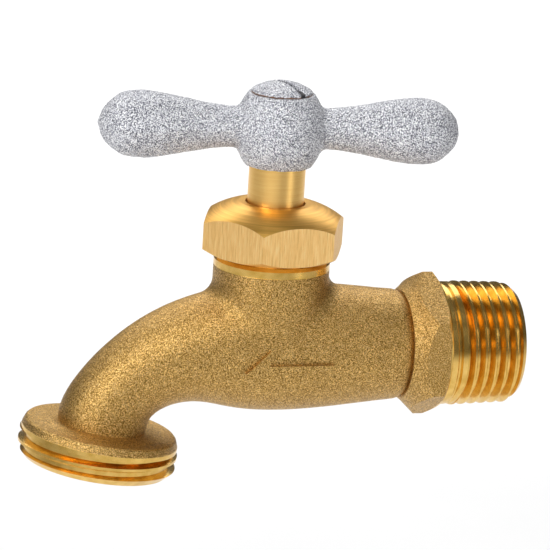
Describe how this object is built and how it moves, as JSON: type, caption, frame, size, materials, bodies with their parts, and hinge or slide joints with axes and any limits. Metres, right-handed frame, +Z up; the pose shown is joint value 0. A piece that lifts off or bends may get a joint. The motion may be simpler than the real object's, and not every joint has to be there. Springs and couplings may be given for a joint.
{
  "type": "hose bib",
  "caption": "Cast brass garden tap with a tee handle on a rising stem, a male pipe-thread inlet and a down-turned male hose-thread spout.",
  "frame": {"origin": "centre of the inlet thread's end face, where the inlet's axis leaves the tap", "axes": "+X out of the inlet along its axis, +Z up, parallel to the stem, spout towards -X"},
  "size_m": [0.0853, 0.0268, 0.0673],
  "materials": {
    "cast_brass": "sand-cast and blasted, with bright turned threads",
    "nut_brass": "brushed flats and a turned cone",
    "stem_brass": "satin, turned",
    "turned_brass": "turned",
    "graphite": "matt, compressed graphite yarn",
    "rubber": "matt moulded rubber",
    "silver_paint": "grainy silver paint on a rough casting",
    "painted_screw": "silver paint over steel, rusty at the rim"
  },
  "bodies": {
    "tap": {"body": "cast_brass", "packing_nut": "nut_brass", "gland_ring": "turned_brass", "packing_rings": "graphite", "packing_washer": "turned_brass"},
    "jumper": {"jumper": "turned_brass", "seat_washer": "rubber", "washer_plate": "turned_brass", "washer_nut": "turned_brass"},
    "stem": {"stem": "stem_brass", "handle": "silver_paint", "handle_screw": "painted_screw"}
  },
  "joints": [
    {"name": "stem_rise", "type": "slide", "parent": "tap", "child": "jumper", "axis": [0, 0, 1], "range_m": [0, 0.0045]},
    {"name": "handle_turn", "type": "hinge", "parent": "jumper", "child": "stem", "pos_m": [-0.0434, 0, 0], "axis": [0, 0, 1], "range_deg": [0, 810]}
  ],
  "couplings": [
    {"joint": "stem_rise", "follows": "handle_turn", "m_per_rad": 0.00031831}
  ]
}
